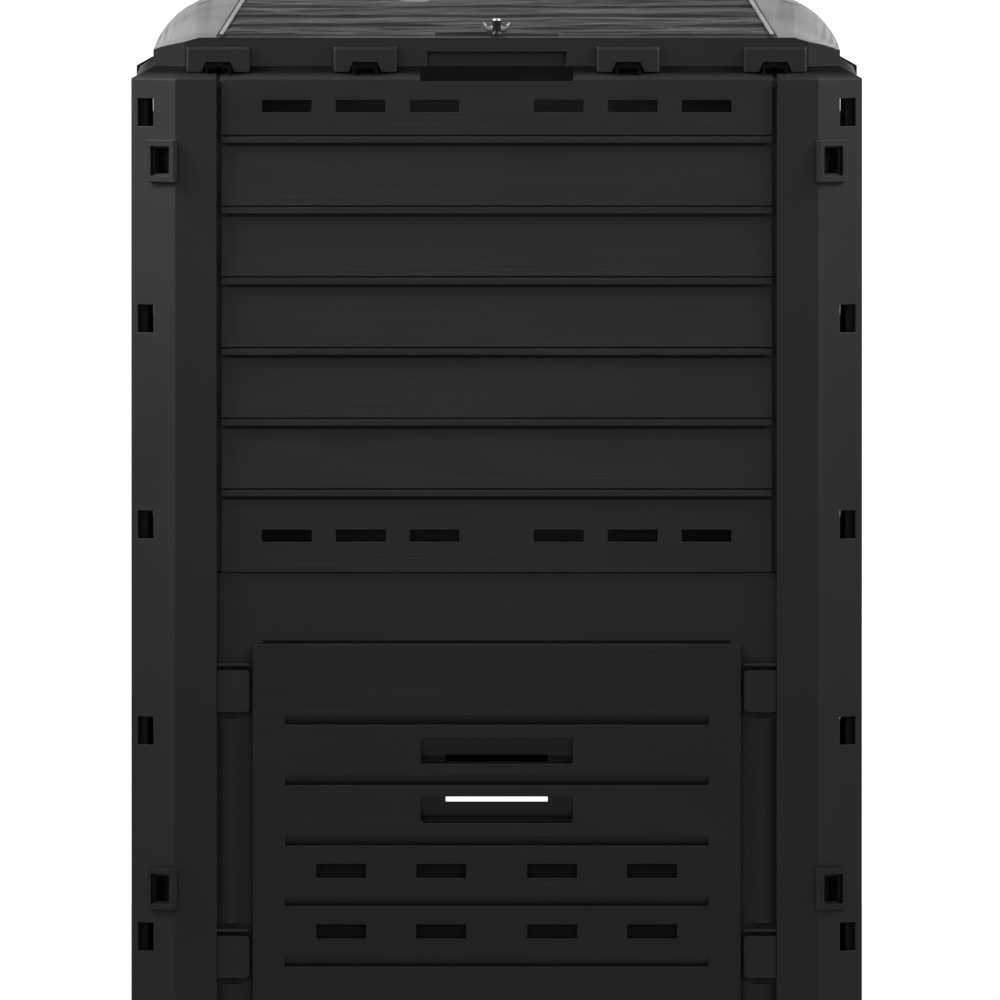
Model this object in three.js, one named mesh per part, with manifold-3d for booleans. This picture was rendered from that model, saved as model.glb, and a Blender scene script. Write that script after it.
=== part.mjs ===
// A square garden compost bin. Four corner posts hold stacked board-pattern wall panels, a low
// pitched lid carries two hinged flaps, and a door slides up at the front.
// Millimetres, +Z up, the front faces -Y. The origin lies on the ground under the bin's middle.
import * as THREE from 'three';
import { mergeVertices } from 'three/addons/utils/BufferGeometryUtils.js';
import Module from 'manifold-3d';

const wasm = await Module();
wasm.setup();

// The bin as a whole
const binSide = 718; // across the corner posts, the same both ways
const postHeight = 1076;
const splitHeight = 592; // where the upper wall panels stand on the lower ones
const rimRise = 12; // the bevelled rim above the posts
const rimInset = 21.6;
const rimWidth = 16; // the level shelf that the lid stands on
const skin = 4; // plastic thickness of posts, walls and lid
const seat = 0.3; // clearance between pieces that rest on or in each other
const overrun = 20; // how far a cut passes beyond the surface that it opens

// Corner posts: folded sections with two flanges, a chamfered corner and a channel on each side
const post = {
  flange: 84, // from the bin's corner to the flange's free edge
  chamfer: 43.5,
  nose: 4, // the flange's turned-back edge
  noseDepth: 7.7,
  channelReach: 24.3, // how far the channel goes in behind the flange
  channelGap: 4.6,
  lipWidth: 18,
  slotWidth: 22,
  slotHeight: 27.5,
  slotOffset: 10.7, // from the chamfer's middle towards the bin's sides
  slotCount: 6,
  slotTopMargin: 32.5,
  slotBottomMargin: 31,
};

// Square corner locks that stand out of the posts' chamfers
const lock = {
  width: 38,
  height: 41,
  standing: 5.6,
  border: 6,
  offset: 14.8, // from the chamfer's middle towards the front or the rear
  tailBorder: 5.5, // the tail that goes through the post is narrower than the head
  tailWall: 2.5,
  tailLength: 12,
  topDrop: 80,
  bottomHeight: 281,
};

// Wall panels, moulded as boards that lap over one another
const wall = {
  recess: 4, // behind the posts' faces
  edgeGap: 4.5, // between a panel's boards and the post's flange
  lap: 3.6, // how far a board's lower edge stands out over the next one
  bandRecess: 2.5,
  boardsAbove: 5,
  boardsBelow: 7,
  topBand: 65,
  ventBand: 71.6,
  shoulderBand: 34,
  strip: 8.7, // the smooth lower edge of each board
  line: 2.2,
  lineDepth: 2.2,
  groove: 3,
  grooveDepth: 1.9,
  ribWidth: 3,
  ribDepth: 6,
  ribOffset: 170,
};
const vent = { width: 49, height: 12, first: 61, pitch: 72.5, perSide: 3 };
const carryGrip = { width: 118, height: 17, board: 4, drop: 3 }; // below the upper edge of a rear board

// The front door, and the keepers and channels on the panel behind it
const door = {
  headroom: 70.5, // from its top edge up to the upper panel
  threshold: 16.8,
  thickness: 7.2,
  skin: 3,
  rim: 6,
  grooveBack: 12, // solid stock left behind each groove
  collar: 14, // depth of the doorway's turned-in edge
  cornerRadius: 5,
  cornerSteps: 3,
  openingSide: 18, // what the frame covers behind each side of the door
  openingRise: 7,
  openingDrop: 20,
  grooveRows: 7,
  grooveMargin: 74,
  grooveSide: 31.5, // from the door's side to where its grooves start
  grooveHeight: 9.6,
  grooveDepth: 4,
  ribWidth: 3,
  ribColumns: 4,
};
const doorVent = { width: 49, height: 14, depth: 5.6, first: 54.5, pitch: 98.1, perSide: 2 };
const handle = {
  row: 2, // on the second groove above the door's middle
  width: 149.5,
  grip: 32,
  pocket: 26.5,
  pocketDepth: 7.5,
  pocketRadius: 4,
  slotWidth: 100,
  slotLift: 2, // from the upper pocket's foot up to its slot
  upperSlot: 7,
  lowerSlot: 5,
  collar: 4,
  back: 3, // how far the pockets' stock stands out behind the door
};
const keeper = { gap: 3.2, height: 41, drop: 46, pitch: 261, recess: 1, hookDepth: 3.2, cornerRadius: 3 };
const ear = { reach: 7.3, inset: 2 };
const channel = { width: 35.5, beadRise: 3.2, beadSteps: 6, ledge: 2.6, ledgeGap: 4.2, margin: 6 };

// The lid's frame: a low ridge from side to side between two rounded shoulders
const lid = {
  chamfer: 31,
  frontRise: 28.7,
  frontHalf: 292, // half of the front edge's level stretch
  cornerDrop: 13,
  ridgeRise: 36.7,
  crownHalf: 262,
  sideDrop: 48.5, // from the ridge down to the side edge
  arcSteps: 8,
  spineHalf: 34,
  spineWeb: 18,
};
const recess = { width: 136, depth: 11, height: 14.6, wall: 4, notchWidth: 150.5, notchDrop: 13.5 };
const clip = {
  width: 62,
  height: 19.5,
  thickness: 9.5,
  bevel: 2,
  edge: 63.9, // from the lid's side to the middle of an outer clip
  innerShare: 0.472,
  notchWidth: 31.5,
  notchTopWidth: 24,
  notchHeight: 4.8,
};
const stub = { width: 25.6, height: 10, rise: 1.8, wall: 3.4, reach: 12 };

// The lid's flaps, their hinges and their wing screws
const flap = {
  setback: 6,
  frontHalf: 274.5,
  ridgeHalf: 251.5,
  thickness: 4,
  sideGap: 1.6,
  border: 7,
  planks: 4,
  plankRise: 3,
  plankTail: 0.6,
  plankGap: 1.5,
  sideLip: 14,
  frontLip: 18,
  ledge: 4.2,
  tongueWidth: 122,
  tongueDepth: 20,
  tongueRise: 1.2,
  ribWidth: 3,
  ribDepth: 6,
  ribOffset: 120,
  ribMargin: 26,
};
const hinge = { barrel: 4.5, pin: 2, gap: 1, lugWidth: 22, lugOffset: 190, notch: 1.5, sides: 12 };
const screw = {
  back: 12, // from the flap's front edge to the screw's axis
  shank: 3,
  shankLength: 15,
  holePlay: 0.5,
  bossPlay: 1,
  collar: 7,
  collarHeight: 2.6,
  hub: 4.5,
  hubHeight: 16.5,
  wingHalf: 13.5,
  wingWaist: 9,
  wingTop: 12,
  wingThickness: 2.6,
  wingSteps: 4,
  bossRadius: 7.5,
  bossHeight: 8,
  sides: 20,
};

// Places that follow from the sizes
const half = binSide / 2;
const wallOut = half - wall.recess;
const boardFoot = wallOut - wall.lap; // where each board starts, under the one above
const tongueOut = half - post.noseDepth - seat;
const wallHalf = half - post.flange - wall.edgeGap;
const channelEnd = half - post.flange + post.channelReach;
const tongueHalf = channelEnd - seat;
const rimTop = postHeight + rimRise;
const rimInner = half - rimInset - rimWidth;
const lidHalf = half - rimInset;
const lidBase = rimTop + seat;
const frontTop = lidBase + lid.frontRise;
const ridgeTop = frontTop + lid.ridgeRise;
const doorWidth = 2 * (half - post.flange - channel.width);
const doorTop = splitHeight - door.headroom;
const doorBase = door.threshold + seat;
const doorHeight = doorTop - doorBase;
const doorMiddle = (doorTop + doorBase) / 2;
const doorPitch = (doorHeight - 2 * door.grooveMargin) / (door.grooveRows - 1);
const doorBack = tongueOut + seat;
const doorFace = doorBack + door.thickness;
const frameHalf = doorWidth / 2 - door.openingSide;
const flapFront = -lidHalf + flap.setback;
const hingeY = -(lid.spineHalf + hinge.barrel + hinge.gap);
const roofSlope = lid.ridgeRise / lidHalf;
const roofTilt = Math.atan(roofSlope);
const screwY = flapFront + screw.back;

// Solids

function solid(geometry) {
  const bare = geometry.clone();
  bare.deleteAttribute('normal');
  bare.deleteAttribute('uv');
  const merged = mergeVertices(bare);
  return new wasm.Manifold(new wasm.Mesh({
    numProp: 3,
    vertProperties: new Float32Array(merged.attributes.position.array),
    triVerts: new Uint32Array(merged.index.array),
  }));
}

function geometryOf(body) {
  const mesh = body.getMesh();
  const geometry = new THREE.BufferGeometry();
  geometry.setAttribute('position', new THREE.BufferAttribute(new Float32Array(mesh.vertProperties), 3));
  geometry.setIndex(new THREE.BufferAttribute(new Uint32Array(mesh.triVerts), 1));
  geometry.computeVertexNormals();
  return geometry;
}

function join(bodies) {
  return bodies.reduce((sum, body) => sum.add(body));
}

function cut(body, tools) {
  return tools.reduce((rest, tool) => rest.subtract(tool), body);
}

function block([x0, x1], [y0, y1], [z0, z1]) {
  const box = new THREE.BoxGeometry(x1 - x0, y1 - y0, z1 - z0);
  box.translate((x0 + x1) / 2, (y0 + y1) / 2, (z0 + z1) / 2);
  return solid(box);
}

// A block on the front of the bin: its second range is measured outwards from the middle.
function frontBlock(across, [out0, out1], up) {
  return block(across, [-out1, -out0], up);
}

function shapeOf(points) {
  return new THREE.Shape(points.map(([a, b]) => new THREE.Vector2(a, b)));
}

function prism(points, depth) {
  return new THREE.ExtrudeGeometry(shapeOf(points), { depth, bevelEnabled: false });
}

// A section in (outwards, up) points, run along X on the front of the bin.
const facingFront = new THREE.Matrix4().makeBasis(
  new THREE.Vector3(0, -1, 0), new THREE.Vector3(0, 0, 1), new THREE.Vector3(-1, 0, 0));

function moulding(section, width, middle = 0) {
  const geometry = prism(section, width);
  geometry.applyMatrix4(facingFront);
  geometry.translate(middle + width / 2, 0, 0);
  return solid(geometry);
}

// An outline in (x, up) points, run outwards on the front of the bin between two distances.
function frontPlate(outline, out0, out1) {
  const geometry = prism(outline, out1 - out0);
  geometry.rotateX(Math.PI / 2);
  geometry.translate(0, -out0, 0);
  return solid(geometry);
}

function rod(radius, length, sides) {
  return new THREE.CylinderGeometry(radius, radius, length, sides);
}

function rodAlongX(radius, [x0, x1], y, z, sides) {
  const geometry = rod(radius, x1 - x0, sides);
  geometry.rotateZ(Math.PI / 2);
  geometry.translate((x0 + x1) / 2, y, z);
  return solid(geometry);
}

// Joins rings of points, each counter-clockwise as seen from where the next ring lies, to a solid.
// flatten gives a ring's point in its own plane, for closing the two ends.
function loft(rings, flatten) {
  const count = rings[0].length;
  const last = (rings.length - 1) * count;
  const positions = rings.flat(2);
  const index = [];
  for (let ring = 0; ring < rings.length - 1; ring += 1) {
    for (let side = 0; side < count; side += 1) {
      const a = ring * count + side;
      const b = ring * count + (side + 1) % count;
      index.push(a, b, b + count, a, b + count, a + count);
    }
  }
  const endFaces = (ring) => THREE.ShapeUtils.triangulateShape(
    ring.map((point) => new THREE.Vector2(...flatten(point))), []);
  endFaces(rings[0]).forEach(([a, b, c]) => index.push(a, c, b));
  endFaces(rings[rings.length - 1]).forEach(([a, b, c]) => index.push(last + a, last + b, last + c));
  const geometry = new THREE.BufferGeometry();
  geometry.setAttribute('position', new THREE.Float32BufferAttribute(positions, 3));
  geometry.setIndex(index);
  return solid(geometry);
}

// A solid over a counter-clockwise plan, whose underside and top follow two height rules.
function slab(plan, lowAt, highAt) {
  const ring = (heightAt) => plan.map(([x, y]) => [x, y, heightAt(x, y)]);
  return loft([ring(lowAt), ring(highAt)], ([x, y]) => [x, y]);
}

function around(middle, width) {
  return [middle - width / 2, middle + width / 2];
}

function clipPlaces() {
  const outer = lidHalf - clip.edge;
  return [-outer, -outer * clip.innerShare, outer * clip.innerShare, outer];
}

// The stub that a lid clip straddles, on the front rim. An outer clip lies over the joint between a
// wall panel and a post, and each of the two carries its own part of the stub.
function makeStub(x) {
  const out0 = lidHalf + 2 * seat;
  const [base, top] = [rimTop + stub.rise - stub.height, rimTop + stub.rise];
  const body = frontBlock(around(x, stub.width), [out0, out0 + stub.reach], [base, top]);
  const hollow = frontBlock(around(x, stub.width - 2 * stub.wall),
    [out0 + stub.reach - stub.wall, out0 + stub.reach + overrun], [base - overrun, top - stub.wall]);
  return body.subtract(hollow);
}

// Corner posts, drawn for the corner at (+, +): u and v lead out from the middle, v to the front

const chamferMiddle = half - post.chamfer / 2;

function postSection() {
  const edge = half - post.flange;
  const corner = half - post.chamfer;
  const inner = half - skin;
  const innerCorner = corner - skin * Math.tan(Math.PI / 8);
  const noseOut = half - post.noseDepth;
  const lipOut = noseOut - post.channelGap;
  const outer = [[edge, half], [corner, half]];
  const inside = [
    [edge, noseOut], [edge + post.nose, noseOut], [edge + post.nose, inner], [channelEnd, inner],
    [channelEnd, lipOut], [channelEnd - post.lipWidth, lipOut], [channelEnd - post.lipWidth, lipOut - skin],
    [channelEnd + skin, lipOut - skin], [channelEnd + skin, inner], [innerCorner, inner],
  ];
  const swapped = (points) => points.map(([u, v]) => [v, u]);
  return [...outer, ...swapped(outer).reverse(), ...swapped(inside), ...inside.reverse()];
}

// The solid wedge that closes a post's top and carries the rim round the corner.
function postCap() {
  const edge = half - post.flange;
  const ring = (out, leg, z) => [
    [edge, rimInner, z], [rimInner, rimInner, z], [rimInner, edge, z], [out, edge, z], [out, out - leg, z],
    [out - leg, out, z], [edge, out, z],
  ];
  const rimLeg = post.chamfer - rimInset * (2 - Math.SQRT2);
  return loft([ring(half, post.chamfer, postHeight - skin), ring(half, post.chamfer, postHeight),
    ring(lidHalf, rimLeg, rimTop)], ([x, y]) => [x, y]);
}

// A block square to the chamfer, from one depth to another outwards of its face.
function chamferBlock(offset, width, [depth0, depth1], [z0, z1]) {
  const box = new THREE.BoxGeometry(width, depth1 - depth0, z1 - z0);
  box.translate(offset, (depth0 + depth1) / 2, (z0 + z1) / 2);
  box.rotateZ(-Math.PI / 4);
  box.translate(chamferMiddle, chamferMiddle, 0);
  return solid(box);
}

const lockHeights = { upper: postHeight - lock.topDrop, lower: lock.bottomHeight };
const lockTail = { width: lock.width - 2 * lock.tailBorder, height: lock.height - 2 * lock.tailBorder };
const lockEnd = -(skin + lock.tailLength);

function makePost() {
  const slotPitch = (postHeight - post.slotTopMargin - post.slotBottomMargin) / (post.slotCount - 1);
  const slots = Array.from({ length: post.slotCount }, (_, k) => chamferBlock(post.slotOffset, post.slotWidth,
    [-skin - overrun, overrun], around(post.slotBottomMargin + k * slotPitch, post.slotHeight)));
  const holes = Object.values(lockHeights).map((z) => chamferBlock(-lock.offset, lockTail.width + 2 * seat,
    [-skin - overrun, overrun], around(z, lockTail.height + 2 * seat)));
  const folded = solid(prism(postSection(), postHeight));
  const stubPart = atCorner(makeStub(clipPlaces()[0]), -1, -1)
    .intersect(block([half - post.flange, half], [0, half], [0, 2 * rimTop]));
  return join([cut(folded, [...slots, ...holes]), postCap(), stubPart]);
}

function makeLock(z) {
  const head = chamferBlock(-lock.offset, lock.width, [seat, lock.standing], around(z, lock.height));
  const tail = chamferBlock(-lock.offset, lockTail.width, [lockEnd, lock.standing / 2],
    around(z, lockTail.height));
  const mouth = chamferBlock(-lock.offset, lock.width - 2 * lock.border,
    [lock.standing / 4, lock.standing + overrun], around(z, lock.height - 2 * lock.border));
  const socket = chamferBlock(-lock.offset, lockTail.width - 2 * lock.tailWall,
    [lockEnd + skin, lock.standing], around(z, lockTail.height - 2 * lock.tailWall));
  return cut(head.add(tail), [mouth, socket]);
}

// Places a piece drawn for the (+, +) corner at another corner, turning its faces out again.
function atCorner(body, sideX, sideY) {
  const geometry = geometryOf(body);
  geometry.scale(sideX, sideY, 1);
  if (sideX * sideY < 0) {
    const index = geometry.index.array;
    for (let face = 0; face < index.length; face += 3) {
      [index[face], index[face + 1]] = [index[face + 1], index[face]];
    }
  }
  return solid(geometry);
}

// Wall panels, drawn for the front

// The section of a lapped panel: a vent band, boards whose lower edges stand out, and a top band.
// rim adds the points of the bevelled rim, outer side first.
function boardSection(base, top, count, topBand, topOut, rim) {
  const first = base + wall.ventBand;
  const pitch = (top - topBand - first) / count;
  const innerOut = boardFoot - skin;
  const grooveOut = boardFoot - wall.grooveDepth;
  const bandOut = wallOut - wall.bandRecess;
  const outer = [[bandOut, base], [bandOut, first]];
  const inner = [[innerOut, base]];
  for (let board = 0; board <= count; board += 1) {
    const start = first + board * pitch;
    const strip = start + wall.strip;
    const inside = start + wall.groove + skin;
    outer.push(
      [grooveOut, start], [grooveOut, start + wall.groove], [wallOut, start + wall.groove], [wallOut, strip],
      [wallOut - wall.lineDepth, strip + wall.line / 2], [wallOut - wall.line / 4, strip + wall.line]);
    inner.push([innerOut, inside], [wallOut - skin, inside]);
    if (board < count) outer.push([boardFoot, start + pitch]);
  }
  outer.push([topOut, top]);
  const close = rim.length > 0 ? rim : [[topOut - skin, top]];
  return [...outer, ...close, ...inner.reverse()];
}

function tongues(base, top) {
  return [-1, 1].map((side) => {
    const edges = [side * (wallHalf - 2 * skin), side * tongueHalf].sort((a, b) => a - b);
    return frontBlock(edges, [tongueOut - skin, tongueOut], [base + skin / 4, top - skin / 4]);
  });
}

function ribs(base, top) {
  const inner = boardFoot - skin;
  return [-wall.ribOffset, wall.ribOffset].map((x) => frontBlock(around(x, wall.ribWidth),
    [inner - wall.ribDepth, inner + skin / 4], [base + skin, top - skin]));
}

function bothSides(first, pitch, count) {
  const places = Array.from({ length: count }, (_, k) => first + k * pitch);
  return [...places.map((x) => -x), ...places];
}

function ventRow(z) {
  return bothSides(vent.first, vent.pitch, vent.perSide).map((x) => frontBlock(around(x, vent.width),
    [tongueOut - skin - overrun, wallOut + overrun], around(z, vent.height)));
}

const upperBase = splitHeight + seat;

// The strip inside the rim that runs on past the boards' ends and closes the joint with the post.
function rimStrip() {
  const [outer, inner] = [wallOut - skin / 4, wallOut - 3 * skin / 4];
  const section = [
    [outer, postHeight - 2 * skin], [outer, postHeight - skin / 4], [lidHalf - skin / 4, rimTop - skin / 4],
    [rimInner + skin / 4, rimTop - skin / 4], [rimInner + skin / 4, rimTop - 3 * skin / 4],
    [lidHalf - skin / 2, rimTop - 3 * skin / 4], [inner, postHeight - skin / 4],
    [inner, postHeight - 2 * skin],
  ];
  return moulding(section, 2 * (half - post.flange - seat));
}

function makeUpperWall() {
  const rim = [
    [lidHalf, rimTop], [rimInner, rimTop], [rimInner, rimTop - skin], [lidHalf - skin / 2, rimTop - skin],
    [wallOut - skin, postHeight - skin / 2],
  ];
  const section = boardSection(upperBase, postHeight, wall.boardsAbove, wall.topBand, wallOut, rim);
  const panel = join([moulding(section, 2 * wallHalf), rimStrip(),
    ...tongues(upperBase, postHeight - skin - seat), ...ribs(upperBase, postHeight - wall.topBand)]);
  const bandMiddle = postHeight - (wall.topBand - wall.strip) / 2 + wall.line;
  return cut(panel, [...ventRow(upperBase + wall.ventBand / 2), ...ventRow(bandMiddle)]);
}

// The front and rear panels have a finger notch through their rim, and stubs under the lid's clips.
function makeNotchedWall() {
  const notch = frontBlock(around(0, recess.notchWidth), [rimInner - overrun, wallOut + overrun],
    [rimTop - recess.notchDrop, rimTop + overrun]);
  const stubs = clipPlaces().map((x) => makeStub(x).intersect(frontBlock([-wallHalf, wallHalf], [0, binSide],
    [0, 2 * rimTop])));
  return join([makeUpperWall().subtract(notch), ...stubs]);
}

function makeLowerWall() {
  const section = boardSection(0, splitHeight, wall.boardsBelow, wall.shoulderBand, boardFoot, []);
  const panel = join([moulding(section, 2 * wallHalf), ...tongues(0, splitHeight), ...ribs(0, splitHeight)]);
  return cut(panel, ventRow(wall.ventBand / 2));
}

// The rear panel has a hand-hold cut through one of its boards.
function makeRearLowerWall() {
  const pitch = (splitHeight - wall.shoulderBand - wall.ventBand) / wall.boardsBelow;
  const top = wall.ventBand + pitch * carryGrip.board - carryGrip.drop;
  return makeLowerWall().subtract(frontBlock(around(0, carryGrip.width),
    [tongueOut - skin - overrun, wallOut + overrun], [top - carryGrip.height, top]));
}

// The front's lower panel: a plain plate with the doorway, the door's keepers and its threshold

const keeperOuter = half - post.flange - seat;
const keeperTip = doorWidth / 2 + keeper.gap;
const keeperBody = doorWidth / 2 + ear.reach + 2 * seat;
const keeperFace = doorFace - keeper.recess;
const hookBack = keeperFace - keeper.hookDepth;
const keeperHeights = [doorTop - keeper.drop - keeper.pitch, doorTop - keeper.drop];

// A hook over the door's ear, or the ledge above it: a block on the panel with a lip towards the door.
function lipped(heights) {
  return join([
    frontBlock([keeperBody, keeperOuter], [tongueOut - skin / 2, keeperFace], heights),
    frontBlock([keeperTip, keeperBody + skin], [hookBack, keeperFace], heights),
  ]);
}

function keeperParts(z) {
  const up = around(z, keeper.height);
  const ledge = [up[1] + channel.ledgeGap, up[1] + channel.ledgeGap + channel.ledge];
  const outline = roundedRectangle([keeperTip, keeperOuter + overrun], up, keeper.cornerRadius,
    door.cornerSteps);
  return [lipped(around(z, 2 * keeper.height)).intersect(frontPlate(outline, 0, half)), lipped(ledge)];
}

// A soft bead up the channel between two heights.
function bead([z0, z1]) {
  const middle = (keeperBody + keeperOuter) / 2;
  const reach = (keeperOuter - keeperBody) / 2;
  const swell = Array.from({ length: channel.beadSteps + 1 }, (_, k) => {
    const share = 1 - 2 * k / channel.beadSteps;
    const rise = (channel.beadRise + seat) * (1 + Math.cos(Math.PI * share)) / 2;
    return [middle + reach * share, seat - tongueOut - rise];
  });
  const root = skin / 2 - tongueOut;
  const section = [[middle - reach, root], [middle + reach, root], ...swell];
  const geometry = prism(section, z1 - z0);
  geometry.translate(0, 0, z0);
  return solid(geometry);
}

function makeDoorFrame() {
  const plate = frontBlock([-tongueHalf, tongueHalf], [tongueOut - skin, tongueOut], [0, splitHeight]);
  const way = [doorBase + door.openingRise, doorTop - door.openingDrop];
  const collar = frontBlock([-frameHalf - skin, frameHalf + skin],
    [tongueOut - door.collar, tongueOut - skin / 2], [way[0] - skin, way[1] + skin]);
  const opening = frontBlock([-frameHalf, frameHalf],
    [tongueOut - door.collar - overrun, tongueOut + overrun], way);
  const threshold = frontBlock(around(0, doorWidth),
    [tongueOut - skin / 2, keeperFace], [0, door.threshold]);
  const headGroove = frontBlock(around(0, doorWidth - 4 * door.cornerRadius),
    [tongueOut - wall.grooveDepth, tongueOut + overrun], [doorTop + seat, doorTop + seat + wall.groove]);
  const [lower, upper] = keeperHeights;
  const beads = [
    [0, lower - keeper.height / 2 - channel.margin],
    [lower + keeper.height / 2 + 2 * channel.margin, upper - keeper.height / 2 - channel.margin],
  ].map(bead);
  const right = [...keeperHeights.flatMap(keeperParts), ...beads];
  const left = right.map((body) => atCorner(body, -1, 1));
  return cut(join([plate, collar, threshold, ...right, ...left]), [opening, headGroove]);
}

// The door, with lapped grooves, air recesses, a grip between two finger slots and four ears

function roundedRectangle([x0, x1], [z0, z1], radius, steps) {
  const corners = [[x1 - radius, z0 + radius], [x1 - radius, z1 - radius], [x0 + radius, z1 - radius],
    [x0 + radius, z0 + radius]];
  return corners.flatMap(([x, z], corner) => Array.from({ length: steps + 1 }, (_, k) => {
    const angle = (corner - 1 + k / steps) * Math.PI / 2;
    return [x + radius * Math.cos(angle), z + radius * Math.sin(angle)];
  }));
}

const handleMiddle = doorMiddle + handle.row * doorPitch;

function doorPockets() {
  const columnWidth = (doorWidth - 2 * door.rim + door.ribWidth) / door.ribColumns;
  const edges = [doorBase + door.rim, doorTop - door.rim];
  const rows = Array.from({ length: door.grooveRows + 1 }, (_, k) => {
    const middle = doorMiddle + (k - door.grooveRows / 2) * doorPitch;
    const reach = doorPitch - door.grooveBack;
    return [
      k === 0 ? edges[0] : middle - reach / 2,
      k === door.grooveRows ? edges[1] : middle + reach / 2,
    ];
  });
  return rows.flatMap((row) => Array.from({ length: door.ribColumns }, (_, k) => {
    const x0 = -doorWidth / 2 + door.rim + k * columnWidth;
    const across = [x0, x0 + columnWidth - door.ribWidth];
    return frontBlock(across, [doorBack - overrun, doorFace - door.skin], row);
  }));
}

// A cut that deepens from the door's face at one height to its full depth at another.
function slopingCut(faceZ, deepZ, depth, width) {
  return moulding([[doorFace, faceZ], [doorFace - depth, deepZ], [doorFace + overrun, deepZ],
    [doorFace + overrun, faceZ]], width);
}

// A finger pocket that deepens downwards, with rounded lower corners.
function fingerPocket(top, radius) {
  const foot = top - handle.pocket;
  const outline = roundedRectangle(around(0, handle.width), [foot, top + overrun], radius, door.cornerSteps);
  return slopingCut(top, foot - seat, handle.pocketDepth, handle.width + 2 * handle.collar)
    .intersect(frontPlate(outline, 0, doorFace + overrun));
}

function makeDoor() {
  const outline = roundedRectangle(around(0, doorWidth), [doorBase, doorTop],
    door.cornerRadius, door.cornerSteps);
  const vents = [-1, 1].flatMap((side) => bothSides(doorVent.first, doorVent.pitch, doorVent.perSide)
    .map((x) => ({ x, z: doorMiddle + side * doorPitch / 2 })));
  const backing = [doorBack, doorFace - door.skin / 2];
  const bosses = [
    ...vents.map(({ x, z }) => frontBlock(around(x, doorVent.width + 2 * handle.collar), backing,
      around(z, doorVent.height + 2 * handle.collar))),
    frontBlock(around(0, handle.width + 2 * handle.collar), [doorBack - handle.back, backing[1]],
      around(handleMiddle, handle.grip + 2 * handle.pocket + 2 * handle.collar)),
  ];
  const gripTop = handleMiddle + handle.grip / 2;
  const gripBase = handleMiddle - handle.grip / 2;
  const upperSlot = gripTop + handle.slotLift + handle.upperSlot / 2;
  const through = [doorBack - overrun, doorFace + overrun];
  const cuts = [
    ...vents.map(({ x, z }) => frontBlock(around(x, doorVent.width),
      [doorFace - doorVent.depth, doorFace + overrun], around(z, doorVent.height))),
    ...Array.from({ length: door.grooveRows }, (_, k) => {
      const z = doorMiddle + (k - (door.grooveRows - 1) / 2) * doorPitch;
      const [top, foot] = [z + door.grooveHeight / 2, z - door.grooveHeight / 2];
      return slopingCut(top, foot, door.grooveDepth, doorWidth - 2 * door.grooveSide);
    }),
    fingerPocket(gripTop + handle.pocket, handle.pocketRadius / 4),
    fingerPocket(gripBase, handle.pocketRadius),
    frontBlock(around(0, handle.slotWidth), through, around(upperSlot, handle.upperSlot)),
    frontBlock(around(0, handle.slotWidth), through, [gripBase - handle.lowerSlot, gripBase]),
  ];
  const ears = keeperHeights.flatMap((z) => [-1, 1].map((side) => {
    const edges = [side * (doorWidth / 2 - skin), side * (doorWidth / 2 + ear.reach)].sort((a, b) => a - b);
    return frontBlock(edges, [doorBack, hookBack - seat], around(z, keeper.height - 2 * ear.inset));
  }));
  const shell = cut(frontPlate(outline, doorBack, doorFace), doorPockets());
  return cut(join([shell, ...bosses]), cuts).add(join(ears));
}

// The lid's frame

const shoulderWidth = lidHalf - lid.crownHalf;
const shoulderRadius = (shoulderWidth ** 2 + lid.sideDrop ** 2) / (2 * lid.sideDrop);

// The roof is ruled from a nearly level front edge to the rounded section at the ridge.
function roofHeight(x, y) {
  const share = 1 - Math.abs(y) / lidHalf;
  const pastFront = Math.max(0, Math.abs(x) - lid.frontHalf) / (lidHalf - lid.frontHalf);
  const pastCrown = Math.max(0, Math.abs(x) - lid.crownHalf);
  const ridgeFall = shoulderRadius - Math.sqrt(shoulderRadius ** 2 - pastCrown ** 2);
  return (frontTop - lid.cornerDrop * pastFront) * (1 - share) + (ridgeTop - ridgeFall) * share;
}

function roofBody(inset, base) {
  const sweep = Math.asin(shoulderWidth / shoulderRadius);
  const arc = Array.from({ length: lid.arcSteps + 1 }, (_, k) =>
    lid.crownHalf + shoulderRadius * Math.sin(sweep * k / lid.arcSteps));
  const places = [...arc.slice(0, -1), lidHalf, lid.frontHalf].sort((a, b) => a - b);
  const across = [...places.map((x) => -x).reverse(), ...places];
  const scale = (lidHalf - inset) / lidHalf;
  const ring = (y) => [
    ...across.map((x) => [x * scale, y * scale, roofHeight(x, y) - inset]),
    [lidHalf * scale, y * scale, base], [-lidHalf * scale, y * scale, base],
  ];
  const leg = lid.chamfer - inset * (2 - Math.SQRT2);
  const edge = lidHalf - inset;
  const plan = [
    [-edge + leg, -edge], [edge - leg, -edge], [edge, -edge + leg], [edge, edge - leg],
    [edge - leg, edge], [-edge + leg, edge], [-edge, edge - leg], [-edge, -edge + leg],
  ];
  const roof = loft([ring(-lidHalf), ring(0), ring(lidHalf)], ([x, , z]) => [z, x]);
  return roof.intersect(slab(plan, () => base - overrun, () => ridgeTop + overrun));
}

function roofPlane(y) {
  return frontTop + roofSlope * (lidHalf - Math.abs(y));
}

function below(depth) {
  return (x, y) => roofPlane(y) - depth;
}

function flapHalf(y) {
  const share = (-y - lid.spineHalf) / (lidHalf - lid.spineHalf);
  return flap.ridgeHalf + (flap.frontHalf - flap.ridgeHalf) * share;
}

// The front flap's tapering plan between two distances, its sides moved out by grow.
function flapPlan(y0, y1, grow) {
  const [wide, narrow] = [flapHalf(y0) + grow, flapHalf(y1) + grow];
  return [[-wide, y0], [wide, y0], [narrow, y1], [-narrow, y1]];
}

function rectangle([x0, x1], [y0, y1]) {
  return [[x0, y0], [x1, y0], [x1, y1], [x0, y1]];
}

const hingeZ = roofPlane(hingeY) - hinge.barrel;
const flapSeat = flap.thickness + seat;
const lugPlaces = [-hinge.lugOffset, 0, hinge.lugOffset];

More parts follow.
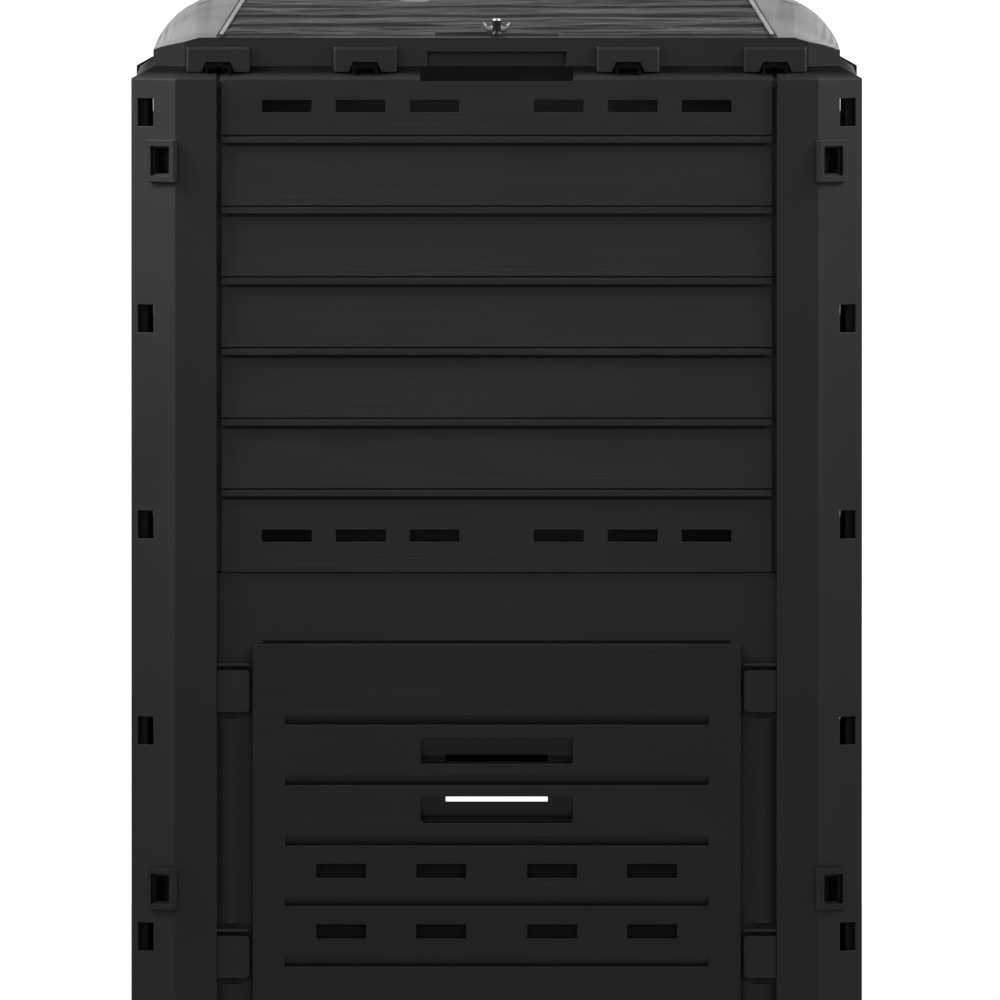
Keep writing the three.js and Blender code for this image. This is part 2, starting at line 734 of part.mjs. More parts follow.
// A turned piece set square on the front slope, at the wing screw.
function onSlope(geometry) {
  return geometry.rotateX(roofTilt).translate(0, screwY, roofPlane(screwY));
}

function slopeRod(radius, [z0, z1]) {
  const geometry = rod(radius, z1 - z0, screw.sides);
  geometry.rotateX(Math.PI / 2);
  geometry.translate(0, 0, (z0 + z1) / 2);
  return solid(onSlope(geometry));
}

// What the frame has at each flap, made for the front: pieces to add, then pieces to cut away.
function flapSeating() {
  const spine = -lid.spineHalf;
  const ledgePlan = flapPlan(flapFront - seat, spine + skin / 2, flap.sideGap + skin);
  const ledge = slab(ledgePlan, below(flapSeat + flap.ledge), below(skin / 2));
  const web = slab(rectangle(around(0, 2 * flap.ridgeHalf), [spine, spine + skin]),
    () => ridgeTop - lid.spineWeb, below(skin / 2));
  const grip = block(around(0, recess.width + 2 * recess.wall),
    [-lidHalf + skin / 2, -lidHalf + recess.depth + recess.wall],
    [lidBase, lidBase + recess.height + recess.wall]);
  const boss = slopeRod(screw.bossRadius, [-flapSeat - flap.ledge - screw.bossHeight, -flapSeat - seat]);
  const lugThickness = 2 * hinge.barrel * Math.cos(Math.PI / hinge.sides);
  const lugs = lugPlaces.flatMap((x) => {
    const width = around(x, hinge.lugWidth);
    return [
      rodAlongX(hinge.barrel, width, hingeY, hingeZ, hinge.sides),
      block(width, [hingeY, spine + skin / 2], around(hingeZ, lugThickness)),
    ];
  });
  const rebate = slab(flapPlan(flapFront - seat, spine, flap.sideGap), below(flapSeat), below(-overrun));
  const mouth = slab(flapPlan(flapFront + flap.frontLip, spine, -flap.sideLip),
    () => rimTop - overrun, below(-overrun));
  const hingeWay = slab(flapPlan(hingeY - 2 * hinge.barrel, spine, flap.sideGap),
    () => rimTop - overrun, below(-overrun));
  const fingers = block(around(0, recess.width), [-lidHalf - overrun, -lidHalf + recess.depth],
    [lidBase - overrun, lidBase + recess.height]);
  const bore = slopeRod(screw.shank + screw.bossPlay, [-overrun - screw.bossHeight, overrun]);
  return {
    add: [ledge, web, grip, boss],
    cuts: [rebate, mouth, hingeWay, fingers, bore],
    lugs,
    pinBore: rodAlongX(hinge.pin + seat, around(0, 2 * lidHalf), hingeY, hingeZ, hinge.sides),
  };
}

function makeLidFrame() {
  const front = flapSeating();
  const toRear = (body) => atCorner(body, -1, -1);
  const both = (bodies) => [...bodies, ...bodies.map(toRear)];
  const shell = roofBody(0, lidBase).subtract(roofBody(skin, lidBase - overrun));
  const opened = cut(join([shell, ...both(front.add)]), both(front.cuts));
  return cut(join([opened, ...both(front.lugs)]), both([front.pinBore]));
}

function makeFlap() {
  const plate = slab(flapPlan(flapFront, hingeY, 0), below(flap.thickness), below(0));
  const barrel = rodAlongX(hinge.barrel, around(0, 2 * flap.ridgeHalf), hingeY, hingeZ, hinge.sides);
  const plankEnd = hingeY - flap.border;
  const pitch = (plankEnd - flapFront) / flap.planks;
  const planks = Array.from({ length: flap.planks }, (_, k) => {
    const y0 = flapFront + k * pitch;
    const y1 = y0 + pitch - flap.plankGap;
    const fall = (flap.plankRise - flap.plankTail) / (y1 - y0);
    const top = (x, y) => roofPlane(y) + flap.plankRise - fall * (y - y0);
    return slab(flapPlan(y0, y1, -flap.border), below(flap.thickness / 2), top);
  });
  const stiffeners = [-flap.ribOffset, flap.ribOffset].map((x) => slab(
    rectangle(around(x, flap.ribWidth), [flapFront + flap.ribMargin, hingeY - 2 * hinge.barrel]),
    below(flap.thickness + flap.ribDepth), below(flap.thickness / 2)));
  const tongueDepth = [flapFront - overrun, flapFront + flap.tongueDepth];
  const tongue = slab(rectangle(around(0, flap.tongueWidth), tongueDepth),
    below(-flap.tongueRise), below(-overrun));
  const notches = lugPlaces.map((x) => block(around(x, hinge.lugWidth + 2 * hinge.gap),
    [hingeY - hinge.barrel - hinge.notch, hingeY + overrun], around(hingeZ, 2 * overrun)));
  const bores = [
    rodAlongX(hinge.pin + seat, around(0, 2 * lidHalf), hingeY, hingeZ, hinge.sides),
    slopeRod(screw.shank + screw.holePlay, [-overrun, overrun]),
  ];
  return cut(join([plate, barrel, ...planks, ...stiffeners]), [tongue, ...notches, ...bores]);
}

function makePin() {
  return rodAlongX(hinge.pin, around(0, 2 * flap.ridgeHalf), hingeY, hingeZ, hinge.sides);
}

// The wing screw about its own axis: z = 0 lies in the flap's sloping top face.
function makeScrew() {
  const seatZ = flap.tongueRise + seat;
  const collarTop = seatZ + screw.collarHeight;
  const profile = [
    [0, -screw.shankLength], [screw.shank, -screw.shankLength], [screw.shank, seatZ], [screw.collar, seatZ],
    [screw.collar, collarTop], [screw.hub, collarTop + screw.collarHeight / 2], [screw.hub, screw.hubHeight],
    [0, screw.hubHeight],
  ].map(([r, z]) => new THREE.Vector2(r, z));
  const turned = new THREE.LatheGeometry(profile, screw.sides).rotateX(Math.PI / 2);
  const outline = new THREE.Shape();
  outline.moveTo(screw.hub / 2, collarTop);
  outline.quadraticCurveTo(screw.wingHalf, collarTop, screw.wingHalf, screw.wingTop);
  outline.lineTo(screw.wingWaist, screw.wingTop - screw.wingThickness / 2);
  outline.quadraticCurveTo(screw.hub, screw.wingTop - screw.hub, screw.hub / 2, screw.hubHeight - screw.hub);
  const wing = new THREE.ExtrudeGeometry(outline, {
    depth: screw.wingThickness, bevelEnabled: false, curveSegments: screw.wingSteps,
  }).translate(0, 0, -screw.wingThickness / 2).rotateX(Math.PI / 2);
  const other = wing.clone().rotateZ(Math.PI);
  return join([solid(turned), solid(wing), solid(other)]);
}

// A lid clip: its foot follows the rim's bevel, and a notch clears the stub.
function makeClip() {
  const top = lidBase + clip.height;
  const ring = (inset, out) => {
    const side = clip.width / 2 - inset;
    const foot = rimTop + 2 * seat - (out - lidHalf) * rimRise / rimInset;
    return [
      [-side, -out, foot], [-clip.notchWidth / 2, -out, foot],
      [-clip.notchTopWidth / 2, -out, lidBase + clip.notchHeight],
      [clip.notchTopWidth / 2, -out, lidBase + clip.notchHeight], [clip.notchWidth / 2, -out, foot],
      [side, -out, foot], [side, -out, top - inset], [-side, -out, top - inset],
    ];
  };
  const out0 = lidHalf + seat;
  const out1 = out0 + clip.thickness;
  return loft([ring(0, out0), ring(0, out1 - clip.bevel), ring(clip.bevel, out1)], ([x, , z]) => [x, z]);
}

// The assembly

const plastic = { color: 0x2a2a2c, roughness: 0.55, metalness: 0 };
const metal = { color: 0xb4b4b0, roughness: 0.3, metalness: 1 };
const bin = new THREE.Group();

function place(name, body, finish, turns = 0) {
  const mesh = new THREE.Mesh(geometryOf(body), new THREE.MeshStandardMaterial(finish));
  mesh.name = name;
  mesh.rotation.z = turns * Math.PI / 2;
  bin.add(mesh);
  return mesh;
}

const corners = [
  ['front', 'left', -1, -1], ['front', 'right', 1, -1], ['rear', 'left', -1, 1], ['rear', 'right', 1, 1],
];
const cornerPost = makePost();
corners.forEach(([end, side, sideX, sideY]) => {
  place(`post_${end}_${side}`, atCorner(cornerPost, sideX, sideY), plastic);
  Object.entries(lockHeights).forEach(([level, z]) => {
    place(`corner_lock_${end}_${side}_${level}`, atCorner(makeLock(z), sideX, sideY), plastic);
  });
});

const plainWall = makeUpperWall();
const notchedWall = makeNotchedWall();
const lowerWall = makeLowerWall();
place('wall_upper_front', notchedWall, plastic);
place('wall_upper_right', plainWall, plastic, 1);
place('wall_upper_rear', notchedWall, plastic, 2);
place('wall_upper_left', plainWall, plastic, 3);
place('wall_lower_right', lowerWall, plastic, 1);
place('wall_lower_rear', makeRearLowerWall(), plastic, 2);
place('wall_lower_left', lowerWall, plastic, 3);
place('door_frame', makeDoorFrame(), plastic);
place('front_door', makeDoor(), plastic);
place('lid_frame', makeLidFrame(), plastic);

[['front', 0], ['rear', 2]].forEach(([end, turns]) => {
  place(`${end}_flap`, makeFlap(), plastic, turns);
  place(`${end}_hinge_pin`, makePin(), metal, turns);
  place(`${end}_wing_screw`, solid(onSlope(geometryOf(makeScrew()))), metal, turns);
  clipPlaces().forEach((x, k) => {
    const mesh = place(`lid_clip_${end}_${k + 1}`, makeClip(), plastic, turns);
    mesh.geometry.translate(x, 0, 0);
  });
});

export default bin;
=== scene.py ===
import math

import bmesh
import bpy
import mathutils
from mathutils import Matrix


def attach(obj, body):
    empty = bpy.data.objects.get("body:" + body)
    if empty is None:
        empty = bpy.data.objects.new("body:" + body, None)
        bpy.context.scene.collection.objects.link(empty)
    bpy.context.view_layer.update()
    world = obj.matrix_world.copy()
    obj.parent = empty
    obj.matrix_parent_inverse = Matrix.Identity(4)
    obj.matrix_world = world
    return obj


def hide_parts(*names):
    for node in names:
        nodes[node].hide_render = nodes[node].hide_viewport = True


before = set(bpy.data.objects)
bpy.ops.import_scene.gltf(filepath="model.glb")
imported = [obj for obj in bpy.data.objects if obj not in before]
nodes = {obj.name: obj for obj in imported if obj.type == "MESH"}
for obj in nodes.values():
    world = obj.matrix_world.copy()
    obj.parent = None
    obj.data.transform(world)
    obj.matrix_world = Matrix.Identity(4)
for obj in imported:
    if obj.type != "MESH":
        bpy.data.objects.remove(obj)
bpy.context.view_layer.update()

print("frame loaded:", len(nodes), "nodes")


# Small helpers for node trees

def fed(tree, socket, value):
    # links the socket where the value is a socket itself, and else sets it
    if isinstance(value, bpy.types.NodeSocket):
        tree.links.new(value, socket)
    else:
        socket.default_value = value


def fedAll(tree, node, given):
    for socket, value in given.items():
        fed(tree, node.inputs[socket], value)


def newGroup(name, inputs, outputs):
    # a shader node group; inputs map a name to its default, outputs to a socket type
    group = bpy.data.node_groups.new(name, "ShaderNodeTree")
    for socket, value in inputs.items():
        made = group.interface.new_socket(socket, in_out="INPUT", socket_type="NodeSocketFloat")
        made.default_value = value
    for socket, kind in outputs.items():
        group.interface.new_socket(socket, in_out="OUTPUT", socket_type="NodeSocket" + kind)
    return group, group.nodes.new("NodeGroupInput").outputs, group.nodes.new("NodeGroupOutput").inputs


def placed(tree, group, values):
    node = tree.nodes.new("ShaderNodeGroup")
    node.node_tree = group
    for socket, value in values.items():
        node.inputs[socket].default_value = value
    return node.outputs


def objectPlace(tree):
    return tree.nodes.new("ShaderNodeTexCoord").outputs["Object"]


def split(tree, vector):
    node = tree.nodes.new("ShaderNodeSeparateXYZ")
    fed(tree, node.inputs[0], vector)
    return node.outputs


def combined(tree, x, y, z):
    node = tree.nodes.new("ShaderNodeCombineXYZ")
    for socket, value in zip(node.inputs, (x, y, z)):
        fed(tree, socket, value)
    return node.outputs[0]


def mathNode(tree, operation, first, second=0.0, third=0.0, clamp=False):
    node = tree.nodes.new("ShaderNodeMath")
    node.operation = operation
    node.use_clamp = clamp
    for socket, value in zip(node.inputs, (first, second, third)):
        fed(tree, socket, value)
    return node.outputs[0]


def product(tree, first, second):
    return mathNode(tree, "MULTIPLY", first, second)


def total(tree, first, second):
    return mathNode(tree, "ADD", first, second)


def mapped(tree, value, fromLow, fromHigh, toLow, toHigh, smooth=False):
    node = tree.nodes.new("ShaderNodeMapRange")
    if smooth:
        node.interpolation_type = "SMOOTHSTEP"
    fedAll(tree, node, {"Value": value, "From Min": fromLow, "From Max": fromHigh, "To Min": toLow,
                        "To Max": toHigh})
    return node.outputs["Result"]


def noiseNode(tree, vector, scale, detail, roughness, distortion=0.0):
    node = tree.nodes.new("ShaderNodeTexNoise")
    fedAll(tree, node, {"Vector": vector, "Scale": scale, "Detail": detail, "Roughness": roughness,
                        "Distortion": distortion})
    return node.outputs["Fac"]


def vectorNode(tree, operation, first, second=None):
    node = tree.nodes.new("ShaderNodeVectorMath")
    node.operation = operation
    fed(tree, node.inputs[0], first)
    if second is not None:
        fed(tree, node.inputs[1], second)
    return node.outputs["Value" if operation in ("LENGTH", "DOT_PRODUCT") else "Vector"]


def stretchedNoise(tree, place, stretch, detail, roughness, distortion=0.0):
    # noise whose stretch says how many waves it has to the metre along x, y and z
    return noiseNode(tree, vectorNode(tree, "MULTIPLY", place, stretch), 1.0, detail, roughness, distortion)


def mixNode(tree, kind, factor, first, second):
    node = tree.nodes.new("ShaderNodeMix")
    node.data_type = kind
    fedAll(tree, node, {"Factor": factor, "A": first, "B": second})
    return node.outputs["Result"]


def bumpNode(tree, height, distance, normal, strength=1.0):
    node = tree.nodes.new("ShaderNodeBump")
    fedAll(tree, node, {"Strength": strength, "Distance": distance, "Height": height, "Normal": normal})
    return node.outputs["Normal"]


# Effects that several finishes share

boardPattern = {
    "streaks": {"stretch": (5.0, 5.0, 210.0), "detail": 5.0, "roughness": 0.62},
    "drift": {"stretch": (9.0, 9.0, 30.0), "detail": 2.0, "roughness": 0.5},
    "bend": {"stretch": (4.0, 4.0, 16.0), "detail": 2.0, "roughness": 0.45, "distortion": 0.4},
    "flecks": {"stretch": (42.0, 42.0, 520.0), "detail": 2.0, "roughness": 0.5},
    "growthLines": 95.0,  # how closely the growth lines follow each other
    "shift": (3.7, 5.3),  # moves the pattern on from board to board
    "streakDepth": 0.6, "lineDepth": 0.12, "fleckDepth": 0.35, "streakTone": 0.5, "driftTone": 0.5,
    "fleckRange": (0.6, 0.72),  # the noise at which a fleck starts, and at which it is whole
    "fleckPatches": (0.4, 0.62), "fleckLeast": 0.15,  # flecks come in patches and are faint between them
    "lowerHalf": (0.15, 0.75), "upperDepth": 0.35,  # the grain is deeper in a board's lower half
}


def buildBoardGrain():
    # wood grain moulded into upright walls: each board has streaks, growth lines and flecks of its own
    tree, given, out = newGroup("boardGrain", {"First": 0.0716, "Pitch": 0.0695, "Flecks": 1.0},
                                {"Height": "Float", "Tone": "Float"})
    place = objectPlace(tree)
    height = split(tree, place)["Z"]
    rise = mathNode(tree, "DIVIDE", mathNode(tree, "SUBTRACT", height, given["First"]), given["Pitch"])
    board = mathNode(tree, "FLOOR", rise)
    share = mathNode(tree, "FRACT", rise)
    across, along = (product(tree, board, step) for step in boardPattern["shift"])
    own = vectorNode(tree, "ADD", place, combined(tree, across, along, 0.0))
    streaks = stretchedNoise(tree, own, **boardPattern["streaks"])
    drift = stretchedNoise(tree, own, **boardPattern["drift"])
    bend = stretchedNoise(tree, own, **boardPattern["bend"])
    lines = mathNode(tree, "SINE", product(tree, bend, boardPattern["growthLines"]))
    flecks = stretchedNoise(tree, own, **boardPattern["flecks"])
    flecks = mapped(tree, flecks, *boardPattern["fleckRange"], 0.0, 1.0, True)
    patches = mapped(tree, drift, *boardPattern["fleckPatches"], boardPattern["fleckLeast"], 1.0)
    lower = mapped(tree, share, *boardPattern["lowerHalf"], 1.0, boardPattern["upperDepth"], True)
    lines = product(tree, lines, product(tree, drift, boardPattern["lineDepth"]))
    grain = total(tree, product(tree, streaks, boardPattern["streakDepth"]), lines)
    flecks = product(tree, product(tree, flecks, patches),
                     product(tree, given["Flecks"], boardPattern["fleckDepth"]))
    fed(tree, out["Height"], total(tree, product(tree, grain, lower), flecks))
    fed(tree, out["Tone"], total(tree, product(tree, streaks, boardPattern["streakTone"]),
                                 product(tree, drift, boardPattern["driftTone"])))
    return tree


plankPattern = {
    "waves": {"stretch": (11.0, 62.0, 0.0), "detail": 2.0, "roughness": 0.5, "distortion": 0.5},
    "fibres": {"stretch": (16.0, 240.0, 0.0), "detail": 3.0, "roughness": 0.6},
    "fibreDepth": 0.25, "waveTone": 0.7, "fibreTone": 0.3,
}


def buildPlankGrain():
    # the coarse, brushed-out grain of the flaps' planks, which runs along the lid
    tree, given, out = newGroup("plankGrain", {"Fibres": plankPattern["fibreDepth"]},
                                {"Height": "Float", "Tone": "Float"})
    place = objectPlace(tree)
    waves = stretchedNoise(tree, place, **plankPattern["waves"])
    fibres = stretchedNoise(tree, place, **plankPattern["fibres"])
    fed(tree, out["Height"], total(tree, waves, product(tree, fibres, given["Fibres"])))
    fed(tree, out["Tone"], mathNode(tree, "MULTIPLY_ADD", waves, plankPattern["waveTone"],
                                    product(tree, fibres, plankPattern["fibreTone"])))
    return tree


mouldPattern = {
    "sand": {"detail": 3.0, "roughness": 0.5},
    "drift": {"scale": 6.0, "detail": 3.0, "roughness": 0.55},
}


def buildMouldTexture():
    # the fine sandy texture of a spark-eroded mould, and slow drifts in sheen
    tree, given, out = newGroup("mouldTexture", {"Fineness": 900.0}, {"Height": "Float", "Drift": "Float"})
    place = objectPlace(tree)
    fed(tree, out["Height"], noiseNode(tree, place, given["Fineness"], **mouldPattern["sand"]))
    fed(tree, out["Drift"], noiseNode(tree, place, **mouldPattern["drift"]))
    return tree


edgeLook = {
    "bevelSamples": 6, "shadeSamples": 8,
    "crevice": (0.93, 0.4),  # openness at which the painted crevice shade starts, and at which it is at its darkest
    "edge": (0.99, 0.8),  # how well the rounded and the flat normal agree off an edge, and right on it
}


def buildEdges():
    # rounds the look of each edge, and tells how deep in a crevice and how near an edge a point lies
    tree, given, out = newGroup("edges", {"Radius": 0.0012, "Reach": 0.006},
                                {"Normal": "Vector", "CreviceShade": "Float", "Edge": "Float"})
    bevel = tree.nodes.new("ShaderNodeBevel")
    bevel.samples = edgeLook["bevelSamples"]
    fed(tree, bevel.inputs["Radius"], given["Radius"])
    flat = tree.nodes.new("ShaderNodeNewGeometry").outputs["Normal"]
    agreement = vectorNode(tree, "DOT_PRODUCT", bevel.outputs["Normal"], flat)
    shade = tree.nodes.new("ShaderNodeAmbientOcclusion")
    shade.samples = edgeLook["shadeSamples"]
    fed(tree, shade.inputs["Distance"], given["Reach"])
    fed(tree, out["Normal"], bevel.outputs["Normal"])
    fed(tree, out["CreviceShade"], mapped(tree, shade.outputs["AO"], *edgeLook["crevice"], 0.0, 1.0))
    fed(tree, out["Edge"], mapped(tree, agreement, *edgeLook["edge"], 0.0, 1.0))
    return tree


maskLook = {
    "sunk": {"Face": -0.3585}, "sunkFrom": (0.0048, 0.0054), "sunkTo": (0.0060, 0.0066), "sunkShare": 0.95,
    "finger": {"Half": 0.0605, "From": 0.3118}, "fingerShare": 0.8,
    "lidShade": {"Low": 1.0755, "High": 1.0835},
}


def buildSunkMask():
    # painted shade on the floors of the door's air recesses, told by their depth behind the face
    tree, given, out = newGroup("sunkMask", maskLook["sunk"], {"Mask": "Float"})
    depth = mathNode(tree, "SUBTRACT", split(tree, objectPlace(tree))["Y"], given["Face"])
    window = product(tree, mapped(tree, depth, *maskLook["sunkFrom"], 0.0, 1.0),
                     mapped(tree, depth, *maskLook["sunkTo"], 1.0, 0.0))
    fed(tree, out["Mask"], product(tree, window, maskLook["sunkShare"]))
    return tree


def buildFingerMask():
    # painted shade in the finger recess in the flap's front edge, with a rougher finish there
    tree, given, out = newGroup("fingerMask", maskLook["finger"], {"Mask": "Float"})
    place = split(tree, objectPlace(tree))
    across = mathNode(tree, "LESS_THAN", mathNode(tree, "ABSOLUTE", place["X"]), given["Half"])
    along = mathNode(tree, "GREATER_THAN", mathNode(tree, "ABSOLUTE", place["Y"]), given["From"])
    fed(tree, out["Mask"], product(tree, product(tree, across, along), maskLook["fingerShare"]))
    return tree


def buildLidShade():
    # painted shade under the lid's overhang, which fades down the bevelled rim
    tree, given, out = newGroup("lidShade", maskLook["lidShade"], {"Mask": "Float"})
    height = split(tree, objectPlace(tree))["Z"]
    fed(tree, out["Mask"], mapped(tree, height, given["Low"], given["High"], 0.0, 1.0))
    return tree


boardGrain = buildBoardGrain()
plankGrain = buildPlankGrain()
mouldTexture = buildMouldTexture()
edges = buildEdges()
sunkMask = buildSunkMask()
fingerMask = buildFingerMask()
lidShade = buildLidShade()
print("node groups built")


# Finishes
# tone is a linear colour and spread its variation, rough varies by gloss, reach is how far the painted
# crevice shade spreads, a mask paints shade too, and veil is how much gloss a mask's painted shade takes
# away

charcoal = (0.0125, 0.0125, 0.0137)
plain = {"tone": charcoal, "grain": None, "spread": 0.06, "gloss": 0.05, "crevice": 0.6, "mask": None,
         "veil": None}
boards = plain | {"grain": "board", "relief": 0.0005, "spread": 0.2, "rough": 0.5, "reach": 0.006,
                  "crevice": 0.4}

finishLook = {
    "upperBoards": boards | {"first": 0.6639, "pitch": 0.06942, "flecks": 0.55, "mask": lidShade,
                             "veil": 0.75},
    "lowerBoards": boards | {"first": 0.0716, "pitch": 0.06949, "flecks": 0.45},
    "door": boards | {"tone": (0.0088, 0.0086, 0.0094), "first": 0.0317, "pitch": 0.0594, "flecks": 0.5,
                      "rough": 0.52, "reach": 0.007, "crevice": 0.7, "mask": sunkMask},
    "planks": plain | {"tone": (0.012, 0.012, 0.0128), "grain": "plank", "relief": 0.0026, "spread": 0.3,
                       "rough": 0.5, "gloss": 0.16, "reach": 0.004, "crevice": 0.8, "mask": fingerMask,
                       "veil": 0.7},
    "posts": plain | {"rough": 0.48, "reach": 0.009, "crevice": 0.5, "mask": lidShade, "veil": 0.75},
    "panel": plain | {"tone": (0.0118, 0.0118, 0.0129), "rough": 0.5, "reach": 0.007},
    "lid": plain | {"tone": (0.012, 0.012, 0.0128), "spread": 0.05, "rough": 0.32, "reach": 0.004},
    "fittings": plain | {"tone": (0.0118, 0.0118, 0.0125), "rough": 0.46, "reach": 0.005},
    "locks": plain | {"tone": (0.0062, 0.0062, 0.0064), "rough": 0.55, "reach": 0.005, "crevice": 0.9},
}
finishLook["bead"] = finishLook["lid"] | {"tone": (0.03, 0.03, 0.031), "rough": 0.25}

plasticLook = {
    "sand": 900.0, "sandDepth": 0.0002, "sandStrength": 0.25, "edgeRadius": 0.0012,
    "highlightPaleness": 1.3, "edgeHighlight": 0.4,  # painted highlight: how pale a highlighted edge is, and how much of it shows
    "deep": 0.3, "darkening": 0.85,  # the same for the painted shade at the bottom of a crevice
    "pattern": (0.3, 0.7),  # the part of a noise's range that is spread over a look's variation
}


def scaled(tone, share):
    return tuple(c * share for c in tone) + (1,)


def plasticFinish(name, look):
    material = bpy.data.materials.new(name + "Plastic")
    material.use_nodes = True
    tree = material.node_tree
    shader = tree.nodes["Principled BSDF"].inputs
    pattern = plasticLook["pattern"]
    mould = placed(tree, mouldTexture, {"Fineness": plasticLook["sand"]})
    edge = placed(tree, edges, {"Radius": plasticLook["edgeRadius"], "Reach": look["reach"]})
    normal = bumpNode(tree, mould["Height"], plasticLook["sandDepth"], edge["Normal"],
                      plasticLook["sandStrength"])
    tone = mould["Drift"]
    if look["grain"] == "board":
        grain = placed(tree, boardGrain, {"First": look["first"], "Pitch": look["pitch"],
                                          "Flecks": look["flecks"]})
    elif look["grain"] == "plank":
        grain = placed(tree, plankGrain, {})
    if look["grain"]:
        normal = bumpNode(tree, grain["Height"], look["relief"], normal)
        tone = grain["Tone"]
    low, high = scaled(look["tone"], 1 - look["spread"]), scaled(look["tone"], 1 + look["spread"])
    colour = mixNode(tree, "RGBA", mapped(tree, tone, *pattern, 0.0, 1.0), low, high)
    # painted highlight: edges are paled towards a lighter tone
    edgeHighlight = product(tree, edge["Edge"], plasticLook["edgeHighlight"])
    colour = mixNode(tree, "RGBA", edgeHighlight, colour, scaled(look["tone"], plasticLook["highlightPaleness"]))
    # painted shade: crevices darken towards a deep tone, and turn rough
    dark = product(tree, edge["CreviceShade"], look["crevice"])
    # painted shade: a mask darkens further, and its veil makes the area metallic with a near-black colour,
    # so its gloss darkens too
    if look["mask"]:
        mask = placed(tree, look["mask"], {})["Mask"]
        dark = mathNode(tree, "MAXIMUM", dark, mask)
        if look["veil"]:
            fed(tree, shader["Metallic"], product(tree, mask, look["veil"]))
    darkening = product(tree, dark, plasticLook["darkening"])
    colour = mixNode(tree, "RGBA", darkening, colour, scaled(look["tone"], plasticLook["deep"]))
    rough = mapped(tree, tone, *pattern, look["rough"] - look["gloss"], look["rough"] + look["gloss"])
    fed(tree, shader["Base Color"], colour)
    fed(tree, shader["Roughness"], mixNode(tree, "FLOAT", dark, rough, 1.0))
    fed(tree, shader["Normal"], normal)
    return material


metalLook = {
    "grain": 1500.0, "grainDepth": 0.0002, "grainStrength": 0.2, "edgeRadius": 0.0005, "reach": 0.004,
    # metalCreviceShade is the near-black of the painted shade in a metal's crevices
    "dull": 0.88, "bright": 1.1, "smoother": 0.06, "rougher": 0.08, "metalCreviceShade": 0.05, "darkening": 0.9,
}


def metalFinish(name, tone, rough):
    material = bpy.data.materials.new(name)
    material.use_nodes = True
    tree = material.node_tree
    shader = tree.nodes["Principled BSDF"].inputs
    shader["Metallic"].default_value = 1.0
    pattern = plasticLook["pattern"]
    mould = placed(tree, mouldTexture, {"Fineness": metalLook["grain"]})
    edge = placed(tree, edges, {"Radius": metalLook["edgeRadius"], "Reach": metalLook["reach"]})
    dull, bright = scaled(tone, metalLook["dull"]), scaled(tone, metalLook["bright"])
    colour = mixNode(tree, "RGBA", mapped(tree, mould["Height"], *pattern, 0.0, 1.0), dull, bright)
    # painted shade: crevices darken towards near-black
    darkening = product(tree, edge["CreviceShade"], metalLook["darkening"])
    metalCreviceShade = (metalLook["metalCreviceShade"],) * 3 + (1,)
    fed(tree, shader["Base Color"], mixNode(tree, "RGBA", darkening, colour, metalCreviceShade))
    fed(tree, shader["Roughness"], mapped(tree, mould["Height"], *pattern, rough - metalLook["smoother"],
                                          rough + metalLook["rougher"]))
    fed(tree, shader["Normal"], bumpNode(tree, mould["Height"], metalLook["grainDepth"], edge["Normal"],
                                         metalLook["grainStrength"]))
    return material


metals = {
    "zinc": {"name": "zincPlate", "tone": (0.55, 0.55, 0.53), "rough": 0.42},
    # painted shade: the screw's hub and collar take a near-black zinc, as if in the dark of a hollow
    "hubShadeZinc": {"name": "hubShadeZinc", "tone": (0.05, 0.05, 0.045), "rough": 0.45},
    "steel": {"name": "pinSteel", "tone": (0.45, 0.45, 0.46), "rough": 0.4},
}

finishes = {name: plasticFinish(name, look) for name, look in finishLook.items()}
finishes |= {name: metalFinish(**look) for name, look in metals.items()}
print("materials built:", len(finishes))


def finishOf(name):
    starts = {"wall_upper": "upperBoards", "wall_lower": "lowerBoards", "front_door": "door",
              "door_frame": "panel", "post": "posts", "corner_lock": "locks", "lid_clip": "fittings",
              "lid_frame": "lid"}
    ends = {"hinge_pin": "steel", "wing_screw": "zinc", "flap": "planks"}
    for end, finish in ends.items():
        if name.endswith(end):
            return finish
    return next(finish for start, finish in starts.items() if name.startswith(start))


for name, piece in nodes.items():
    piece.data.materials.clear()
    piece.data.materials.append(finishes[finishOf(name)])
print("nodes dressed")


# Pieces that take the place of CAD nodes

def shapeTree(name, inputs):
    # a geometry node group with named inputs; returns the group, its input sockets and its output socket
    group = bpy.data.node_groups.new(name, "GeometryNodeTree")
    for socket, value in inputs.items():
        kind = "Int" if isinstance(value, int) else "Float"
        made = group.interface.new_socket(socket, in_out="INPUT", socket_type="NodeSocket" + kind)
        made.default_value = value
    group.interface.new_socket("Finish", in_out="INPUT", socket_type="NodeSocketMaterial")
    group.interface.new_socket("Geometry", in_out="OUTPUT", socket_type="NodeSocketGeometry")
    return group, group.nodes.new("NodeGroupInput").outputs, group.nodes.new("NodeGroupOutput").inputs[0]


def shaped(tree, kind, **given):
    # one geometry node; a given value is a socket to link or a plain value to set
    node = tree.nodes.new(kind)
    fedAll(tree, node, {name.replace("_", " "): value for name, value in given.items()})
    return node.outputs[0]


def joined(tree, parts):
    node = tree.nodes.new("GeometryNodeJoinGeometry")
    for part in reversed(parts):
        tree.links.new(part, node.inputs[0])
    return node.outputs[0]


def finishedOff(tree, geometry, finish):
    whole = shaped(tree, "GeometryNodeRealizeInstances", Geometry=geometry)
    smooth = shaped(tree, "GeometryNodeSetShadeSmooth", Geometry=whole)
    return shaped(tree, "GeometryNodeSetMaterial", Geometry=smooth, Material=finish)


def added(name, mesh):
    made = bpy.data.objects.new(name, mesh)
    bpy.context.scene.collection.objects.link(made)
    return made


